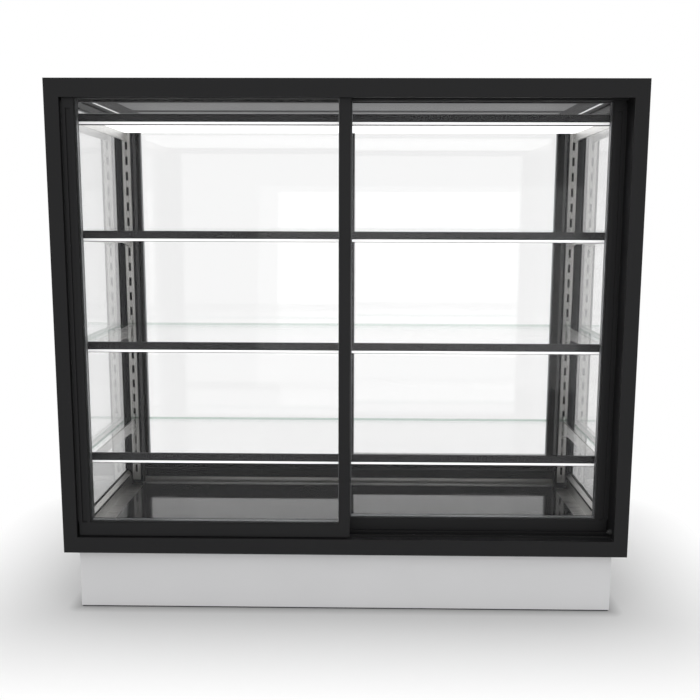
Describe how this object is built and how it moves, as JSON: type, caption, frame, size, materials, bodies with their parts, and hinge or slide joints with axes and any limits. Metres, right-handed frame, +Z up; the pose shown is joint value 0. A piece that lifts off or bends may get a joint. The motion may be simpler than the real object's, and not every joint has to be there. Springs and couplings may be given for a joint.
{
  "type": "heated drop-in display case",
  "caption": "Square glass heated display case with lit glass shelves and sliding doors front and rear, on a drop-in base with a warm air fan.",
  "frame": {"origin": "on the floor under the middle of the case", "axes": "+Z up, -Y towards the customer side shown in the picture, +X to the right seen from there"},
  "size_m": [1.2, 0.6, 1.113],
  "materials": {
    "frame_black": "satin powder coat",
    "base_grey": "satin powder coat",
    "plain_steel": "galvanised",
    "stainless": "brushed",
    "clear_glass": "polished",
    "deck_glass": "polished",
    "opal_panel": "opal",
    "led_light": "lit",
    "bar_grey": "satin anodised",
    "spacer_alu": "satin",
    "liner_dark": "satin",
    "black_plastic": "matt",
    "key_grey": "matt",
    "nylon": "matt",
    "rubber": "matt",
    "pile": "pile",
    "driver_white": "satin"
  },
  "bodies": {
    "case": {"base_front_panel": "base_grey", "base_rear_panel": "base_grey", "base_side_panels": "base_grey", "base_floor_plate": "plain_steel", "screws": "plain_steel", "deck_pan": "stainless", "deck_glass": "deck_glass", "deck_beads": "stainless", "corner_stiles": "frame_black", "front_top_track": "frame_black", "rear_top_track": "frame_black", "front_bottom_track": "frame_black", "rear_bottom_track": "frame_black", "side_top_rails": "frame_black", "side_sills": "frame_black", "side_panes": "clear_glass", "side_spacers": "spacer_alu", "roof_panel": "frame_black", "ceiling_liner": "liner_dark", "canopy_panel": "opal_panel", "shelf_glasses": "clear_glass", "light_bars": "bar_grey", "led_diffusers": "led_light", "shelf_brackets": "stainless", "corner_posts": "liner_dark", "slotted_strips": "stainless", "air_baffle": "plain_steel", "fan_housing": "black_plastic", "air_heater": "stainless", "led_driver": "driver_white", "controller": "black_plastic", "switch_housing": "black_plastic", "cable_gland": "black_plastic", "brush_seals": "pile", "door_bumpers": "rubber"},
    "fan": {"fan_impeller": "black_plastic"},
    "up_key": {"up_button": "key_grey"},
    "down_key": {"down_button": "key_grey"},
    "set_key": {"set_button": "key_grey"},
    "switch_rocker": {"power_rocker": "black_plastic"},
    "front_left_door": {"front_left_door_frame": "frame_black", "front_left_door_panes": "clear_glass", "front_left_door_spacer": "spacer_alu"},
    "front_left_roller_outer": {"front_left_roller_outer": "nylon"},
    "front_left_roller_meeting": {"front_left_roller_meeting": "nylon"},
    "front_right_door": {"front_right_door_frame": "frame_black", "front_right_door_panes": "clear_glass", "front_right_door_spacer": "spacer_alu"},
    "front_right_roller_outer": {"front_right_roller_outer": "nylon"},
    "front_right_roller_meeting": {"front_right_roller_meeting": "nylon"},
    "rear_right_door": {"rear_right_door_frame": "frame_black", "rear_right_door_panes": "clear_glass", "rear_right_door_spacer": "spacer_alu"},
    "rear_right_roller_outer": {"rear_right_roller_outer": "nylon"},
    "rear_right_roller_meeting": {"rear_right_roller_meeting": "nylon"},
    "rear_left_door": {"rear_left_door_frame": "frame_black", "rear_left_door_panes": "clear_glass", "rear_left_door_spacer": "spacer_alu"},
    "rear_left_roller_outer": {"rear_left_roller_outer": "nylon"},
    "rear_left_roller_meeting": {"rear_left_roller_meeting": "nylon"}
  },
  "joints": [
    {"name": "fan_spin", "type": "hinge", "parent": "case", "child": "fan", "pos_m": [0, 0.015, 0.066], "axis": [0, 1, 0], "continuous": true},
    {"name": "up_press", "type": "slide", "parent": "case", "child": "up_key", "axis": [0, -1, 0], "range_m": [0, 0.0012], "stiffness_N_per_m": 300},
    {"name": "down_press", "type": "slide", "parent": "case", "child": "down_key", "axis": [0, -1, 0], "range_m": [0, 0.0012], "stiffness_N_per_m": 300},
    {"name": "set_press", "type": "slide", "parent": "case", "child": "set_key", "axis": [0, -1, 0], "range_m": [0, 0.0012], "stiffness_N_per_m": 300},
    {"name": "power_rock", "type": "hinge", "parent": "case", "child": "switch_rocker", "pos_m": [-0.33, 0.254, 0.078], "axis": [1, 0, 0], "range_deg": [0, 16]},
    {"name": "front_left_slide", "type": "slide", "parent": "case", "child": "front_left_door", "axis": [1, 0, 0], "range_m": [0, 0.5495]},
    {"name": "front_left_roller_outer_roll", "type": "hinge", "parent": "front_left_door", "child": "front_left_roller_outer", "pos_m": [-0.497, -0.277, 0.1745], "axis": [0, 1, 0], "range_deg": [0, 4925]},
    {"name": "front_left_roller_meeting_roll", "type": "hinge", "parent": "front_left_door", "child": "front_left_roller_meeting", "pos_m": [-0.059, -0.277, 0.1745], "axis": [0, 1, 0], "range_deg": [0, 4925]},
    {"name": "front_right_slide", "type": "slide", "parent": "case", "child": "front_right_door", "axis": [-1, 0, 0], "range_m": [0, 0.5495]},
    {"name": "front_right_roller_outer_roll", "type": "hinge", "parent": "front_right_door", "child": "front_right_roller_outer", "pos_m": [0.497, -0.237, 0.1745], "axis": [0, -1, 0], "range_deg": [0, 4925]},
    {"name": "front_right_roller_meeting_roll", "type": "hinge", "parent": "front_right_door", "child": "front_right_roller_meeting", "pos_m": [0.059, -0.237, 0.1745], "axis": [0, -1, 0], "range_deg": [0, 4925]},
    {"name": "rear_right_slide", "type": "slide", "parent": "case", "child": "rear_right_door", "axis": [-1, 0, 0], "range_m": [0, 0.5495]},
    {"name": "rear_right_roller_outer_roll", "type": "hinge", "parent": "rear_right_door", "child": "rear_right_roller_outer", "pos_m": [0.497, 0.277, 0.1745], "axis": [0, -1, 0], "range_deg": [0, 4925]},
    {"name": "rear_right_roller_meeting_roll", "type": "hinge", "parent": "rear_right_door", "child": "rear_right_roller_meeting", "pos_m": [0.059, 0.277, 0.1745], "axis": [0, -1, 0], "range_deg": [0, 4925]},
    {"name": "rear_left_slide", "type": "slide", "parent": "case", "child": "rear_left_door", "axis": [1, 0, 0], "range_m": [0, 0.5495]},
    {"name": "rear_left_roller_outer_roll", "type": "hinge", "parent": "rear_left_door", "child": "rear_left_roller_outer", "pos_m": [-0.497, 0.237, 0.1745], "axis": [0, 1, 0], "range_deg": [0, 4925]},
    {"name": "rear_left_roller_meeting_roll", "type": "hinge", "parent": "rear_left_door", "child": "rear_left_roller_meeting", "pos_m": [-0.059, 0.237, 0.1745], "axis": [0, 1, 0], "range_deg": [0, 4925]}
  ],
  "couplings": [
    {"joint": "front_left_roller_outer_roll", "follows": "front_left_slide", "rad_per_m": 156.25},
    {"joint": "front_left_roller_meeting_roll", "follows": "front_left_slide", "rad_per_m": 156.25},
    {"joint": "front_right_roller_outer_roll", "follows": "front_right_slide", "rad_per_m": 156.25},
    {"joint": "front_right_roller_meeting_roll", "follows": "front_right_slide", "rad_per_m": 156.25},
    {"joint": "rear_right_roller_outer_roll", "follows": "rear_right_slide", "rad_per_m": 156.25},
    {"joint": "rear_right_roller_meeting_roll", "follows": "rear_right_slide", "rad_per_m": 156.25},
    {"joint": "rear_left_roller_outer_roll", "follows": "rear_left_slide", "rad_per_m": 156.25},
    {"joint": "rear_left_roller_meeting_roll", "follows": "rear_left_slide", "rad_per_m": 156.25}
  ]
}
